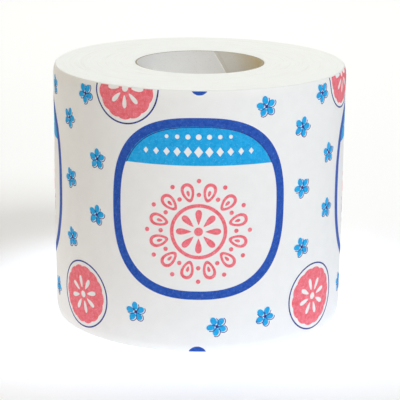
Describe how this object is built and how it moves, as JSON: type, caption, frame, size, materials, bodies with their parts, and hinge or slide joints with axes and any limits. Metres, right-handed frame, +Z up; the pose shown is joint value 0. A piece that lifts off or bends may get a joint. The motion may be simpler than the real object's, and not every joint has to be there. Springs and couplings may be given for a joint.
{
  "type": "toilet paper roll",
  "caption": "Toilet paper roll that stands on its end: wound white tissue on a thin card core, with a glued band of printed paper round the side and both ends open.",
  "frame": {"origin": "centre of the lower end, on the surface that the roll stands on", "axes": "+Z up along the roll's axis; -Y is the side that faces the viewer"},
  "size_m": [0.103, 0.103, 0.09],
  "materials": {
    "core_board": "matt grey recycled board",
    "tissue": "soft sawn tissue, matt",
    "wrapper_paper": "thin machine-glazed paper, printed in blue and coral"
  },
  "bodies": {
    "root": {"card_core": "core_board", "wound_tissue": "tissue", "paper_wrapper": "wrapper_paper"}
  },
  "joints": []
}
